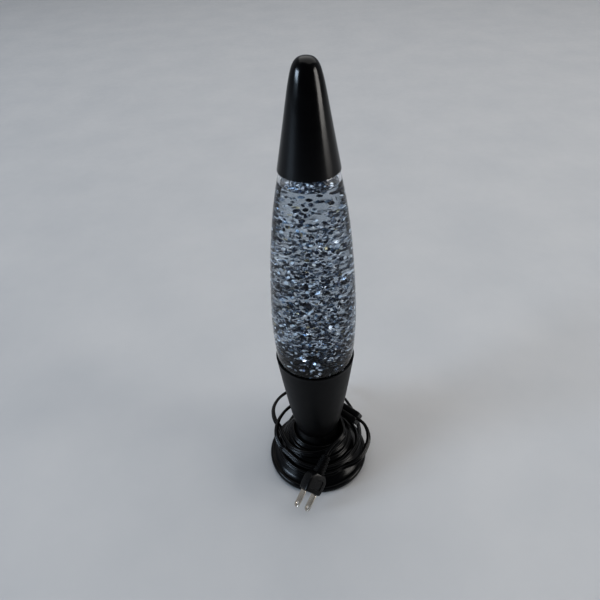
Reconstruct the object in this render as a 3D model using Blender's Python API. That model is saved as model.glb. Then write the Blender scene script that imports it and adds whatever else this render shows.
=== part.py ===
"""Glitter lamp: turned base, glass bottle in its seat, cone cap, screw bulb, wound lead, switch and plug.

Frame: metres, +Z up, origin at the centre of the footprint on the table, the lamp's front towards -Y.
"""
import math

import bmesh
import bpy
from mathutils import Matrix, Vector
from mathutils.geometry import interpolate_bezier

MM = 0.001

# Driving dimensions
CAP_RIM_Z = 300.0 * MM
CUP_RIM_Z = 136.0 * MM
WAIST_Z = 46.0 * MM
LIP_Z = 7.4 * MM
FOOT_R = 46.3 * MM
FLARE_R = 41.0 * MM
WAIST_R = 18.3 * MM
CUP_RIM_R = 32.2 * MM
SHEET = 1.0 * MM            # wall of the spun metal
GLASS_WALL = 2.2 * MM
GAP = 0.3 * MM              # clearance between touching pieces
LIQUID_Z = 291.0 * MM
SEGMENTS = 32

# Lead
CORD_R = 2.0 * MM
CORD_LAYER = 3.2 * MM       # one layer of flat cord with its gap
WINDING_LOW = 17.2 * MM
WINDING_HIGH = 44.0 * MM
SKIRT_OUT_R = 0.87          # the skirt's outward direction: away from the axis, and up
SKIRT_OUT_Z = 0.49
EXIT_Z = 12.5 * MM
EXIT_Y = 60.0 * MM

# Inline switch: centre, long axis and outward direction of its wide face
SWITCH_THICK = 11.0 * MM
SWITCH_CENTRE = Vector((21.3, 26.7, 34.7)) * MM
SWITCH_LONG = Vector((0.735, -0.678, 0.0))
SWITCH_OUT = Vector((0.59, 0.64, 0.49))
SWITCH_TILT = math.radians(12.0)

# Plug: centre of its front face, pointing direction and direction from blade to blade
PLUG_FRONT = Vector((-10.8, -56.7, 21.5)) * MM
PLUG_POINT = Vector((-0.502, -0.682, -0.532))
PLUG_SPREAD = Vector((-0.675, -0.075, 0.734))
BLADE_SPACING = 12.7 * MM


def clear_scene():
    for thing in list(bpy.data.objects):
        bpy.data.objects.remove(thing, do_unlink=True)


def material(name, colour, roughness, metallic=0.0, alpha=1.0):
    mat = bpy.data.materials.new(name)
    mat.use_nodes = True
    shader = mat.node_tree.nodes["Principled BSDF"]
    shader.inputs["Base Color"].default_value = (*colour, 1.0)
    shader.inputs["Roughness"].default_value = roughness
    shader.inputs["Metallic"].default_value = metallic
    shader.inputs["Alpha"].default_value = alpha
    mat.diffuse_color = (*colour, alpha)
    return mat


def add_object(name, bm, mat, frame=None, sharp=40.0):
    bmesh.ops.recalc_face_normals(bm, faces=bm.faces)
    mesh = bpy.data.meshes.new(name)
    bm.to_mesh(mesh)
    bm.free()
    mesh.materials.append(mat)
    mesh.shade_smooth()
    mesh.set_sharp_from_angle(angle=math.radians(sharp))
    obj = bpy.data.objects.new(name, mesh)
    bpy.context.scene.collection.objects.link(obj)
    if frame is not None:
        obj.matrix_world = frame
    return obj


def frame_of(origin, x_axis, y_hint):
    """Matrix whose X is x_axis and whose Y is as near y_hint as a square frame allows."""
    x = x_axis.normalized()
    z = x.cross(y_hint).normalized()
    y = z.cross(x)
    rotation = Matrix((x, y, z)).transposed().to_4x4()
    return Matrix.Translation(origin) @ rotation


def turned(name, outline, mat, segments=SEGMENTS, centre=(0.0, 0.0), frame=None, radius_of=None):
    """Solid of revolution about Z. An outline that touches the axis ends there; any other is a ring."""
    bm = bmesh.new()
    rings = []
    for r, z in outline:
        if r < 1e-7:
            rings.append([bm.verts.new((centre[0], centre[1], z))])
            continue
        ring = []
        for i in range(segments):
            angle = 2.0 * math.pi * i / segments
            radius = radius_of(r, z, angle) if radius_of else r
            ring.append(bm.verts.new((centre[0] + radius * math.cos(angle),
                                      centre[1] + radius * math.sin(angle), z)))
        rings.append(ring)
    for k, low in enumerate(rings):
        high = rings[(k + 1) % len(rings)]
        if len(low) == 1 and len(high) == 1:
            continue
        for i in range(segments):
            j = (i + 1) % segments
            if len(low) == 1:
                bm.faces.new((low[0], high[i], high[j]))
            elif len(high) == 1:
                bm.faces.new((low[i], low[j], high[0]))
            else:
                bm.faces.new((low[i], low[j], high[j], high[i]))
    return add_object(name, bm, mat, frame)


def extruded(name, outline, low, high, mat, frame):
    """Solid between two levels over an outline, in millimetres, in the frame's XY plane."""
    bm = bmesh.new()
    face = bm.faces.new([bm.verts.new((x * MM, y * MM, low)) for x, y in outline])
    moved = bmesh.ops.extrude_face_region(bm, geom=[face])
    for item in moved["geom"]:
        if isinstance(item, bmesh.types.BMVert):
            item.co.z = high
    return add_object(name, bm, mat, frame)


def round_edges(obj, width, angle=30.0):
    edges = obj.modifiers.new("edges", "BEVEL")
    edges.width = width
    edges.segments = 2
    edges.limit_method = "ANGLE"
    edges.angle_limit = math.radians(angle)


def cylinder(name, radius, low, high, mat, frame=None, segments=SEGMENTS, centre=(0.0, 0.0)):
    return turned(name, [(0, low), (radius, low), (radius, high), (0, high)], mat, segments, centre, frame)


def tube_ring(name, outer, inner, low, high, mat, segments=SEGMENTS):
    return turned(name, [(inner, low), (outer, low), (outer, high), (inner, high)], mat, segments)


def hex_nut(name, corner_r, bore_r, low, high, mat):
    """Nut with a round bore; its six flats follow from the corner radius."""
    def flats(r, z, angle):
        if r < 0.5 * (corner_r + bore_r):
            return r
        within = angle % math.radians(60.0) - math.radians(30.0)
        return r * math.cos(math.radians(30.0)) / math.cos(within)

    outline = [(bore_r, low), (corner_r, low), (corner_r, high), (bore_r, high)]
    return turned(name, outline, mat, 24, radius_of=flats)


def smooth_points(points, steps):
    """Points on a smooth curve through the given ones."""
    out = []
    last = len(points) - 1
    for k in range(last):
        before = points[max(k - 1, 0)]
        after = points[min(k + 2, last)]
        a, b = points[k], points[k + 1]
        handle_a = a + (b - before) / 6.0
        handle_b = b - (after - a) / 6.0
        out += interpolate_bezier(a, handle_a, handle_b, b, steps + 1)[:-1]
    return out + [points[last]]


def cable(name, route_mm, mat, radius=CORD_R, steps=2, resolution=2):
    """Round tube with closed ends along a smooth curve through the route."""
    points = smooth_points([Vector(p) * MM for p in route_mm], steps)
    curve = bpy.data.curves.new(name, "CURVE")
    curve.dimensions = "3D"
    curve.bevel_depth = radius
    curve.bevel_resolution = resolution
    curve.use_fill_caps = True
    spline = curve.splines.new("POLY")
    spline.points.add(len(points) - 1)
    for place, point in zip(spline.points, points):
        place.co = (*point, 1.0)
    curve.materials.append(mat)
    obj = bpy.data.objects.new(name, curve)
    bpy.context.scene.collection.objects.link(obj)
    return obj


def in_mm(outline):
    return [(r * MM, z * MM) for r, z in outline]


def cut(obj, cutter):
    cutter.hide_render = True
    cutter.display_type = "WIRE"
    hole = obj.modifiers.new("cut", "BOOLEAN")
    hole.operation = "DIFFERENCE"
    hole.object = cutter
    hole.solver = "EXACT"


# Outlines

def flare_radius(z):
    """Outer radius of the skirt between its lip and the waist."""
    part = max(0.0, min(1.0, (WAIST_Z - z) / (WAIST_Z - LIP_Z)))
    return WAIST_R + (FLARE_R - WAIST_R) * part ** 1.25


def cup_radius(z):
    """Outer radius of the cup between the waist and its rim."""
    part = max(0.0, (z - WAIST_Z) / (CUP_RIM_Z - WAIST_Z))
    return WAIST_R + (CUP_RIM_R - WAIST_R) * part ** 0.75


def steps_between(low, high, count):
    return [low + (high - low) * i / count for i in range(count + 1)]


def glass_outline():
    """Outer outline of the bottle, from the centre of its bottom to its mouth."""
    rise = CAP_RIM_Z - CUP_RIM_Z
    belly = [(0.00, 31.0), (0.12, 32.5), (0.25, 33.0), (0.40, 32.1), (0.55, 30.5), (0.70, 28.2),
             (0.85, 24.8), (1.00, 20.0)]
    body = [Vector((r * MM, 0.0, CUP_RIM_Z + 0.3 * MM + u * (rise - 0.6 * MM))) for u, r in belly]
    curve = [(p.x, p.z) for p in smooth_points(body, 1)]
    heel = in_mm([(0.0, 124.0), (23.0, 124.0), (27.4, 125.4), (29.3, 129.0), (30.6, 135.0)])
    shoulder = in_mm([(19.3, 301.5), (17.9, 304.0), (15.2, 308.0), (13.2, 311.5), (12.9, 315.0),
                      (13.4, 316.6), (13.4, 320.0), (12.8, 321.0)])
    return heel, curve, shoulder


def build_base(black):
    outer = [(44.9 * MM, 0.8 * MM), (45.9 * MM, 1.8 * MM), (FOOT_R, 4.2 * MM), (45.9 * MM, 6.4 * MM),
             (44.8 * MM, LIP_Z), (42.6 * MM, LIP_Z - 0.1 * MM)]
    outer += [(flare_radius(z), z) for z in steps_between(LIP_Z + 0.4 * MM, WAIST_Z, 7)]
    outer += [(cup_radius(z), z) for z in steps_between(WAIST_Z + 3.0 * MM, CUP_RIM_Z, 7)]
    inner = [(cup_radius(z) - SHEET, z) for z in steps_between(CUP_RIM_Z, WAIST_Z + 3.0 * MM, 7)]
    inner += [(flare_radius(z) - SHEET, z) for z in steps_between(WAIST_Z, LIP_Z + 0.4 * MM, 7)]
    inner += [(42.2 * MM, 6.3 * MM), (44.4 * MM, 6.3 * MM), (44.8 * MM, 4.2 * MM), (44.4 * MM, 0.8 * MM)]
    shell = turned("base_shell", outer + inner, black)
    along_y = Matrix.Translation((0.0, 0.0, EXIT_Z)) @ Matrix.Rotation(math.radians(-90.0), 4, "X")
    hole = cylinder("exit_hole_cutter", 3.9 * MM, 30.0 * MM, 46.0 * MM, black, along_y, 24)
    cut(shell, hole)
    return shell


def build_base_fittings(mats):
    cover = in_mm([(5.2, 8.0), (13.0, 8.0), (16.0, 2.2), (43.4, 2.2), (43.4, 3.8), (17.0, 3.8), (14.0, 9.6),
                   (5.2, 9.6)])
    turned("bottom_cover", cover, mats["plastic"])
    for i in range(4):
        angle = math.radians(45.0 + 90.0 * i)
        centre = (38.0 * MM * math.cos(angle), 38.0 * MM * math.sin(angle))
        pad = in_mm([(0, 0), (4.4, 0), (4.8, 0.5), (4.8, 1.9), (0, 1.9)])
        turned(f"foot_pad_{i + 1}", pad, mats["rubber"], 16, centre)
    tube_ring("lamp_pipe", 4.8 * MM, 3.4 * MM, 2.4 * MM, 56.7 * MM, mats["steel"], 24)
    tube_ring("pipe_washer", 10.0 * MM, 5.1 * MM, 7.0 * MM, 7.7 * MM, mats["steel"], 32)
    hex_nut("pipe_nut", 8.0 * MM, 5.1 * MM, 3.0 * MM, 6.7 * MM, mats["steel"])
    bracket = tube_ring("socket_bracket", 17.9 * MM, 5.1 * MM, 49.8 * MM, 51.2 * MM, mats["steel"], 40)
    cut(bracket, cylinder("wire_hole_cutter", 3.2 * MM, 45.0 * MM, 55.0 * MM, mats["steel"], None, 20,
                          (0.0, 12.4 * MM)))
    hex_nut("bracket_nut", 7.5 * MM, 5.1 * MM, 51.5 * MM, 54.4 * MM, mats["steel"])
    tube_ring("globe_seat_ring", 28.9 * MM, 23.6 * MM, 121.3 * MM, 123.6 * MM, mats["rubber"])
    body = in_mm([(0, 57.0), (5.2, 57.0), (5.2, 54.8), (11.6, 54.8), (13.0, 56.2), (13.0, 76.6),
                  (12.2, 77.4), (9.7, 77.4), (9.7, 60.0), (0, 60.0)])
    turned("socket_body", body, mats["phenolic"], 32)
    tube_ring("socket_shell", 9.4 * MM, 8.9 * MM, 60.3 * MM, 76.8 * MM, mats["brass"], 32)
    cylinder("socket_contact", 3.0 * MM, 60.3 * MM, 61.1 * MM, mats["brass"], None, 20)
    for name, side in (("hot_wire", 1.0), ("neutral_wire", -1.0)):
        x = 1.3 * side
        route = [(x, 32.2, 12.5), (x, 28.5, 13.5), (x, 24.0, 18.0), (x, 18.0, 27.0), (x, 13.6, 37.0),
                 (x, 12.4, 46.0), (x, 12.4, 53.5)]
        cable(name, route, mats[name], 0.9 * MM, 2, 1)


def build_bulb(mats):
    glass = [(7.6, 70.0), (7.6, 80.5), (9.2, 85.0), (13.6, 90.5), (16.8, 95.5), (17.5, 99.5), (16.9, 104.0),
             (14.4, 109.0), (9.6, 113.0), (4.6, 114.6)]
    wall = 0.7
    outer = in_mm(glass) + [(0.0, 115.0 * MM)]
    inner = [(0.0, (115.0 - wall) * MM)] + [((r - wall) * MM, (z - wall * 0.3) * MM) for r, z in glass[::-1]]
    inner[-1] = ((7.6 - wall) * MM, 70.0 * MM)
    turned("bulb_glass", outer + inner, mats["bulb"], 28)
    base = [(8.1, 66.0), (8.5, 66.0), (8.5, 80.0), (8.1, 80.0)]
    turned("bulb_base", in_mm(base), mats["nickel"], 32)
    insulator = [(0, 63.2), (2.9, 63.2), (7.6, 65.7), (0, 65.7)]
    turned("bulb_insulator", in_mm(insulator), mats["phenolic"], 24)
    cylinder("bulb_contact", 2.4 * MM, 61.4 * MM, 62.9 * MM, mats["nickel"], None, 20)
    stem = [(0, 71.0), (4.4, 71.0), (3.6, 76.0), (2.0, 82.0), (2.0, 91.0), (0, 91.0)]
    turned("bulb_stem", in_mm(stem), mats["bulb"], 20)
    arch = [(-7.0, 0.0, 97.0), (-5.0, 0.0, 100.0), (0.0, 0.0, 101.5), (5.0, 0.0, 100.0), (7.0, 0.0, 97.0),
            (2.9, 0.0, 91.0), (2.9, 0.0, 88.0)]
    cable("bulb_filament", arch, mats["nickel"], 0.35 * MM, 2, 1)


def build_globe(mats):
    heel, curve, shoulder = glass_outline()
    outer = heel + curve + shoulder
    mouth = [(8.2 * MM, 321.0 * MM), (8.0 * MM, 312.0 * MM), (11.8 * MM, 307.0 * MM),
             (15.8 * MM, 302.6 * MM)]
    inner = [(r - GLASS_WALL, z) for r, z in curve[::-1]]
    floor = [(28.2 * MM, 135.0 * MM), (27.0 * MM, 129.6 * MM), (24.6 * MM, 126.8 * MM), (0.0, 126.4 * MM)]
    turned("globe_glass", outer + mouth + inner + floor, mats["glass"])
    wall = GLASS_WALL + GAP
    fluid = [(0.0, 126.7 * MM), (24.2 * MM, 127.1 * MM), (26.6 * MM, 129.8 * MM), (27.8 * MM, 135.0 * MM)]
    fluid += [(r - wall, z) for r, z in curve if z < LIQUID_Z]
    below = max((p for p in curve if p[1] < LIQUID_Z), key=lambda p: p[1])
    above = min((p for p in curve if p[1] >= LIQUID_Z), key=lambda p: p[1])
    share = (LIQUID_Z - below[1]) / (above[1] - below[1])
    level_r = below[0] + share * (above[0] - below[0]) - wall
    turned("liquid", fluid + [(level_r, LIQUID_Z), (0.0, LIQUID_Z)], mats["liquid"])

    def flutes(r, z, angle):
        skirt = max(0.0, min(1.0, (322.0 * MM - z) / (5.0 * MM)))
        return r + 0.45 * MM * skirt * math.cos(21.0 * angle)

    crown = [(0, 323.1), (12.6, 323.1), (14.2, 322.2), (14.9, 316.9), (14.2, 316.9), (13.95, 321.3),
             (12.9, 322.4), (0, 322.4)]
    turned("crown_cap", in_mm(crown), mats["nickel"], 63, radius_of=flutes)
    cylinder("crown_liner", 12.4 * MM, 321.3 * MM, 322.1 * MM, mats["plastic"], None, 32)


def build_cap(mats):
    outer = [(20.8, 300.0), (20.7, 301.2), (17.1, 320.4), (13.4, 340.8), (11.7, 350.0), (10.0, 357.6),
             (8.5, 362.4), (6.6, 365.6), (4.0, 367.4), (0.0, 368.0)]
    inner = [(0.0, 366.8), (3.6, 366.2), (5.8, 364.6), (7.5, 361.7), (8.9, 357.0), (10.6, 349.6),
             (12.3, 340.4), (16.0, 320.1), (19.75, 301.2), (20.15, 300.0)]
    turned("cap_cone", in_mm(outer + inner), mats["cap"])


def switch_azimuth_weight(angle):
    """1 where the switch lies against the windings, 0 elsewhere, with a soft edge."""
    centre = math.atan2(SWITCH_OUT.y, SWITCH_OUT.x)
    away = abs((angle - centre + math.pi) % (2.0 * math.pi) - math.pi)
    near, far = math.radians(46.0), math.radians(62.0)
    return 1.0 - max(0.0, min(1.0, (away - near) / (far - near)))


def build_winding(mats):
    """Outer shape of the lead's turns round the waist: two layers, one where the switch lies."""
    heights = steps_between(WINDING_LOW, WINDING_HIGH, 8)
    clearance = GAP + 0.2 * MM
    taper = 4.0 * MM
    bm = bmesh.new()
    rings = []
    inner = [(flare_radius(z) + clearance * SKIRT_OUT_R, z + GAP * SKIRT_OUT_Z, 0.0) for z in heights]
    outer = [(flare_radius(z), z, 1.0) for z in heights[::-1]]
    for r, z, lifted in inner + outer:
        near_top = max(0.0, 1.0 - (WINDING_HIGH - z) / taper)
        ring = []
        for i in range(SEGMENTS):
            angle = 2.0 * math.pi * i / SEGMENTS
            layers = 2.0 - switch_azimuth_weight(angle)
            lift = lifted * (GAP + CORD_LAYER * layers) * (1.0 - 0.35 * near_top)
            radius = r + lift * SKIRT_OUT_R
            ring.append(bm.verts.new((radius * math.cos(angle), radius * math.sin(angle),
                                      z + lift * SKIRT_OUT_Z)))
        rings.append(ring)
    for k, low in enumerate(rings):
        high = rings[(k + 1) % len(rings)]
        for i in range(SEGMENTS):
            j = (i + 1) % SEGMENTS
            bm.faces.new((low[i], low[j], high[j], high[i]))
    add_object("cord_winding", bm, mats["cord"])


def build_strain_relief(mats):
    outline = [(0.0, 32.6), (3.5, 32.6), (3.5, 42.0), (4.5, 42.0), (4.5, 45.0), (3.2, EXIT_Y / MM),
               (0.0, EXIT_Y / MM)]
    along_y = Matrix.Translation((0.0, 0.0, EXIT_Z)) @ Matrix.Rotation(math.radians(-90.0), 4, "X")
    turned("strain_relief", in_mm(outline), mats["rubber"], 24, frame=along_y)


def build_leads(mats):
    """The stretches of lead that leave the windings."""
    cord = mats["cord"]
    exit_lead = [(0.0, 60.6, 12.5), (0.2, 63.0, 12.4), (2.0, 66.6, 12.1), (7.5, 70.5, 11.5),
                 (16.5, 71.0, 11.0), (25.0, 65.5, 11.0), (31.5, 56.0, 11.5), (36.0, 45.0, 12.3),
                 (39.5, 33.0, 13.2), (41.3, 21.0, 14.0)]
    cable("cord_exit_lead", exit_lead, cord)
    rear_lead = [(-36.3, 9.5, 30.0), (-39.8, 16.0, 30.0), (-42.0, 24.0, 30.0), (-42.0, 33.5, 30.0),
                 (-38.0, 43.0, 30.3), (-31.0, 50.0, 31.0), (-21.5, 54.3, 32.0), (-12.0, 54.6, 33.2),
                 (-5.5, 51.3, 34.2), (-1.2, 47.5, 34.6), (2.6, 43.9, 34.7)]
    cable("cord_rear_lead", rear_lead, cord)
    loop_right = [(40.0, 9.4, 34.7), (44.6, 4.9, 33.2), (47.8, -1.5, 29.5), (47.6, -8.0, 25.5),
                  (44.6, -14.0, 22.3), (40.8, -20.0, 20.5)]
    cable("cord_loop_right", loop_right, cord)
    loop_left = [(-35.6, -10.9, 28.5), (-38.7, -3.4, 32.0), (-38.4, 5.4, 36.0), (-34.8, 14.0, 38.4),
                 (-27.2, 22.8, 40.4), (-15.5, 29.1, 42.4), (-4.1, 29.2, 44.2), (4.5, 25.8, 45.4)]
    cable("cord_loop_left", loop_left, cord)
    plug_lead = [(23.6, -14.5, 47.2), (19.6, -20.6, 46.6), (14.0, -25.6, 44.9), (8.7, -30.3, 42.1),
                 (6.65, -33.1, 39.9)]
    cable("cord_plug_lead", plug_lead, cord)


def build_switch(mats):
    frame = frame_of(SWITCH_CENTRE, SWITCH_LONG, SWITCH_OUT.cross(SWITCH_LONG))
    edge = [(-25.0, 5.5), (-18.0, 9.6), (18.0, 9.6), (25.0, 5.5)]
    outline = [(x, -y) for x, y in edge] + edge[::-1]
    half = 0.5 * SWITCH_THICK
    lower = extruded("switch_lower_case", outline, -half, -GAP / 2.0, mats["cord_plastic"], frame)
    upper = extruded("switch_upper_case", outline, GAP / 2.0, half, mats["cord_plastic"], frame)
    round_edges(lower, 1.0 * MM)
    round_edges(upper, 1.0 * MM)
    window = [(-7.3, -4.3), (7.3, -4.3), (7.3, 4.3), (-7.3, 4.3)]
    cut(upper, extruded("rocker_pocket_cutter", window, 2.4 * MM, 10.4 * MM, mats["cord_plastic"], frame))
    tilt = Matrix.Translation((0.0, 0.0, 4.6 * MM)) @ Matrix.Rotation(SWITCH_TILT, 4, "Y")
    on_side = frame @ tilt @ Matrix.Rotation(math.radians(90.0), 4, "X")
    profile = [(-6.6, 0.9), (-6.2, -0.6), (-1.6, -1.6), (1.6, -1.6), (6.2, -0.6), (6.6, 0.9), (3.4, 1.15),
               (0.0, 0.75), (-3.4, 1.15)]
    extruded("switch_rocker", profile, -4.0 * MM, 4.0 * MM, mats["cord_plastic"], on_side)
    for i, x in enumerate((-20.0, 20.0)):
        bore = frame @ Matrix.Translation((x * MM, 0.0, 0.0))
        cut(lower, cylinder(f"switch_screw_cutter_{i + 1}", 2.1 * MM, -8.0 * MM, -2.2 * MM,
                            mats["steel"], bore, 20))
        cylinder(f"switch_screw_{i + 1}", 1.8 * MM, -5.2 * MM, -2.5 * MM, mats["steel"], bore, 20)


def build_plug(mats):
    frame = frame_of(PLUG_FRONT, PLUG_POINT, PLUG_SPREAD)
    edge = [(0.0, 8.8), (-6.0, 9.6), (-11.0, 9.8), (-15.0, 8.0), (-18.0, 4.9)]
    outline = [(x, -y) for x, y in edge] + edge[::-1]
    body = extruded("plug_body", outline, -5.4 * MM, 5.4 * MM, mats["cord_plastic"], frame)
    round_edges(body, 1.6 * MM, 50.0)
    back = frame @ Matrix.Rotation(math.radians(-90.0), 4, "Y")
    relief = [(0.0, 18.3), (4.9, 18.3), (4.3, 26.0), (3.4, 34.0), (0.0, 34.0)]
    turned("plug_strain_relief", in_mm(relief), mats["cord_plastic"], 24, frame=back)
    tip = [(0.3, 3.15), (13.8, 3.15), (15.5, 2.1), (16.2, 0.0)]
    blade_outline = [(x, -z) for x, z in tip] + tip[-2::-1]
    for name, side in (("plug_blade_left", 0.5), ("plug_blade_right", -0.5)):
        place = frame @ Matrix.Translation((0.0, side * BLADE_SPACING, 0.0))
        across = place @ Matrix.Rotation(math.radians(90.0), 4, "X")
        blade = extruded(name, blade_outline, -0.75 * MM, 0.75 * MM, mats["nickel"], across)
        cut(blade, cylinder(name + "_hole_cutter", 1.6 * MM, -3.0 * MM, 3.0 * MM, mats["nickel"],
                            across @ Matrix.Translation((12.4 * MM, 0.0, 0.0)), 20))


def main():
    clear_scene()
    mats = {
        "black": material("base_black", (0.012, 0.012, 0.014), 0.38),
        "cap": material("cap_black", (0.008, 0.008, 0.009), 0.2),
        "plastic": material("cover_plastic", (0.02, 0.02, 0.022), 0.5),
        "rubber": material("black_rubber", (0.018, 0.018, 0.018), 0.75),
        "steel": material("zinc_steel", (0.62, 0.63, 0.65), 0.35, 1.0),
        "brass": material("brass", (0.78, 0.58, 0.28), 0.3, 1.0),
        "nickel": material("nickel", (0.72, 0.70, 0.66), 0.25, 1.0),
        "phenolic": material("phenolic", (0.02, 0.02, 0.02), 0.4),
        "glass": material("bottle_glass", (0.92, 0.96, 0.98), 0.02, 0.0, 0.25),
        "bulb": material("bulb_glass", (0.97, 0.98, 1.0), 0.02, 0.0, 0.3),
        "liquid": material("clear_liquid", (0.75, 0.82, 0.88), 0.02, 0.0, 0.35),
        "cord": material("cord_vinyl", (0.012, 0.012, 0.013), 0.35),
        "cord_plastic": material("moulded_vinyl", (0.014, 0.014, 0.015), 0.4),
        "hot_wire": material("wire_black", (0.02, 0.02, 0.02), 0.4),
        "neutral_wire": material("wire_white", (0.8, 0.8, 0.78), 0.4),
    }
    build_base(mats["black"])
    build_base_fittings(mats)
    build_bulb(mats)
    build_globe(mats)
    build_cap(mats)
    build_strain_relief(mats)
    build_winding(mats)
    build_leads(mats)
    build_switch(mats)
    build_plug(mats)


main()
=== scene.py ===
"""Glitter lamp: the finished surface of every piece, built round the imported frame. Routes are in mm."""
import math
import random

import bmesh
import bpy
from mathutils import Matrix, Vector
from mathutils.geometry import interpolate_bezier


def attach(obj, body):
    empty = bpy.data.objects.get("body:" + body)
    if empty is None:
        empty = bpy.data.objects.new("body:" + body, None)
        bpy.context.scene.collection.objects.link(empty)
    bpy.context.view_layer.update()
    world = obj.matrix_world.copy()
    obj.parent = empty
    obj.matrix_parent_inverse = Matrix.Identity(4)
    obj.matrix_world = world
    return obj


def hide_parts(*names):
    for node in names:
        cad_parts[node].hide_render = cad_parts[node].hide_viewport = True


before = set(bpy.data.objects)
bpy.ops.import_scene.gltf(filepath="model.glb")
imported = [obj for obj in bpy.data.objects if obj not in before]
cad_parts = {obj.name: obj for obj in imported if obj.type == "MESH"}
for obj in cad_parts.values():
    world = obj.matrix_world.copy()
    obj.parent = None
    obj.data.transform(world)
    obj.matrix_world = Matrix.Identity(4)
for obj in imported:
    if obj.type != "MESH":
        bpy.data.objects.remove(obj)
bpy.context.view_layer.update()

MM = 0.001
TURN = 2.0 * math.pi

# Outline of the lamp, as the CAD has it
CAP_RIM_Z = 300.0 * MM
CUP_RIM_Z = 136.0 * MM
WAIST_Z = 46.0 * MM
LIP_Z = 7.4 * MM
FLARE_R = 41.0 * MM
WAIST_R = 18.3 * MM
CUP_RIM_R = 32.2 * MM
SHEET = 1.0 * MM
CAP_TOP_Z = 368.0 * MM
BELLY_R = 33.0 * MM         # widest radius of the bottle
GLASS_WALL = 2.2 * MM
GLASS_GAP = 0.3 * MM        # between the bottle and each of the two rims
LIQUID_GAP = 0.15 * MM      # between the glass and the liquid's side
LIQUID_Z = 291.0 * MM
EXIT_Z = 12.5 * MM
LAMP_SEGMENTS = 128
SHARP_ANGLE = 35.0          # degrees between faces, past which an edge stays sharp

# Flat twin lead
CORD_WIDTH = 5.5 * MM
CORD_THICK = 2.8 * MM
LAYER_1 = 1.75 * MM         # height of each layer's centre over the skirt
LAYER_2 = 4.95 * MM
SLOPE_OUT = Vector((0.87, 0.49))   # the skirt's outward direction: away from the axis, and up

# Switch and plug, as the CAD has them
SWITCH_CENTRE = Vector((21.3, 26.7, 34.7)) * MM
SWITCH_LONG = Vector((0.735, -0.678, 0.0))
SWITCH_OUT = Vector((0.59, 0.64, 0.49))
CASE_HALF = 5.5             # millimetres from the seam to the face of either half
CASE_SEAM = 0.15            # half the gap between the two halves
SCREW_X = 20.0
ROCKER_TILT = 12.0          # degrees at rest
PLUG_FRONT = Vector((-10.8, -56.7, 21.5)) * MM
PLUG_POINT = Vector((-0.502, -0.682, -0.532))
PLUG_SPREAD = Vector((-0.675, -0.075, 0.734))
PLUG_HALF = 5.4
BLADE_SIDE = 6.35 * MM      # from the plug's middle to each blade
BLADE_HALF = 0.75
BLADE_HOLE_X = 12.4 * MM


# Camera

def make_camera():
    data = bpy.data.cameras.new("camera")
    data.sensor_width = 36.0
    data.lens = 32.7
    camera = bpy.data.objects.new("camera", data)
    bpy.context.scene.collection.objects.link(camera)
    tilt = Matrix.Rotation(math.radians(51.47), 4, "X") @ Matrix.Rotation(math.radians(-2.98), 4, "Z")
    camera.matrix_world = Matrix.Translation((-0.0102, -0.3263, 0.4518)) @ tilt
    bpy.context.scene.camera = camera


# Mesh helpers

def frame_of(origin, x_axis, y_hint):
    x = x_axis.normalized()
    z = x.cross(y_hint).normalized()
    y = z.cross(x)
    return Matrix.Translation(origin) @ Matrix((x, y, z)).transposed().to_4x4()


def add_piece(name, bm, mats, matrix=None, sharp=SHARP_ANGLE):
    bmesh.ops.recalc_face_normals(bm, faces=bm.faces)
    mesh = bpy.data.meshes.new(name)
    bm.to_mesh(mesh)
    bm.free()
    for mat in mats if isinstance(mats, list) else [mats]:
        mesh.materials.append(mat)
    if matrix is not None:
        mesh.transform(matrix)
    mesh.shade_smooth()
    mesh.set_sharp_from_angle(angle=math.radians(sharp))
    obj = bpy.data.objects.new(name, mesh)
    bpy.context.scene.collection.objects.link(obj)
    return obj


def turned(name, outline, mat, segments=LAMP_SEGMENTS, matrix=None, radius_of=None, sharp=SHARP_ANGLE):
    """Solid of revolution about Z. An outline that touches the axis ends there, another closes on itself."""
    bm = bmesh.new()
    rings = []
    for r, z in outline:
        if r < 1e-7:
            rings.append([bm.verts.new((0.0, 0.0, z))])
            continue
        ring = []
        for i in range(segments):
            angle = TURN * i / segments
            radius = radius_of(r, z, angle) if radius_of else r
            ring.append(bm.verts.new((radius * math.cos(angle), radius * math.sin(angle), z)))
        rings.append(ring)
    for k, low in enumerate(rings):
        high = rings[(k + 1) % len(rings)]
        if len(low) == 1 and len(high) == 1:
            continue
        for i in range(segments):
            j = (i + 1) % segments
            if len(low) == 1:
                bm.faces.new((low[0], high[i], high[j]))
            elif len(high) == 1:
                bm.faces.new((low[i], low[j], high[0]))
            else:
                bm.faces.new((low[i], low[j], high[j], high[i]))
    return add_piece(name, bm, mat, matrix, sharp)


def in_mm(outline):
    return [(r * MM, z * MM) for r, z in outline]


def smooth_points(points, steps):
    """Points on a smooth curve through the given ones."""
    out = []
    last = len(points) - 1
    for k in range(last):
        before = points[max(k - 1, 0)]
        after = points[min(k + 2, last)]
        a, b = points[k], points[k + 1]
        out += interpolate_bezier(a, a + (b - before) / 6.0, b - (after - a) / 6.0, b, steps + 1)[:-1]
    return out + [points[last]]


def extruded(name, outline, low, high, mat, matrix, bevel, segments=3, angle=40.0):
    """Solid between two levels over an outline in the matrix's XY plane, with rounded edges."""
    bm = bmesh.new()
    face = bm.faces.new([bm.verts.new((x * MM, y * MM, low * MM)) for x, y in outline])
    moved = bmesh.ops.extrude_face_region(bm, geom=[face])
    for item in moved["geom"]:
        if isinstance(item, bmesh.types.BMVert):
            item.co.z = high * MM
    obj = add_piece(name, bm, mat, matrix)
    if bevel:
        round_edges(obj, bevel * MM, segments, angle)
    return obj


def round_edges(obj, width, segments, angle):
    edges = obj.modifiers.new("edges", "BEVEL")
    edges.width = width
    edges.segments = segments
    edges.limit_method = "ANGLE"
    edges.angle_limit = math.radians(angle)


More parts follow.
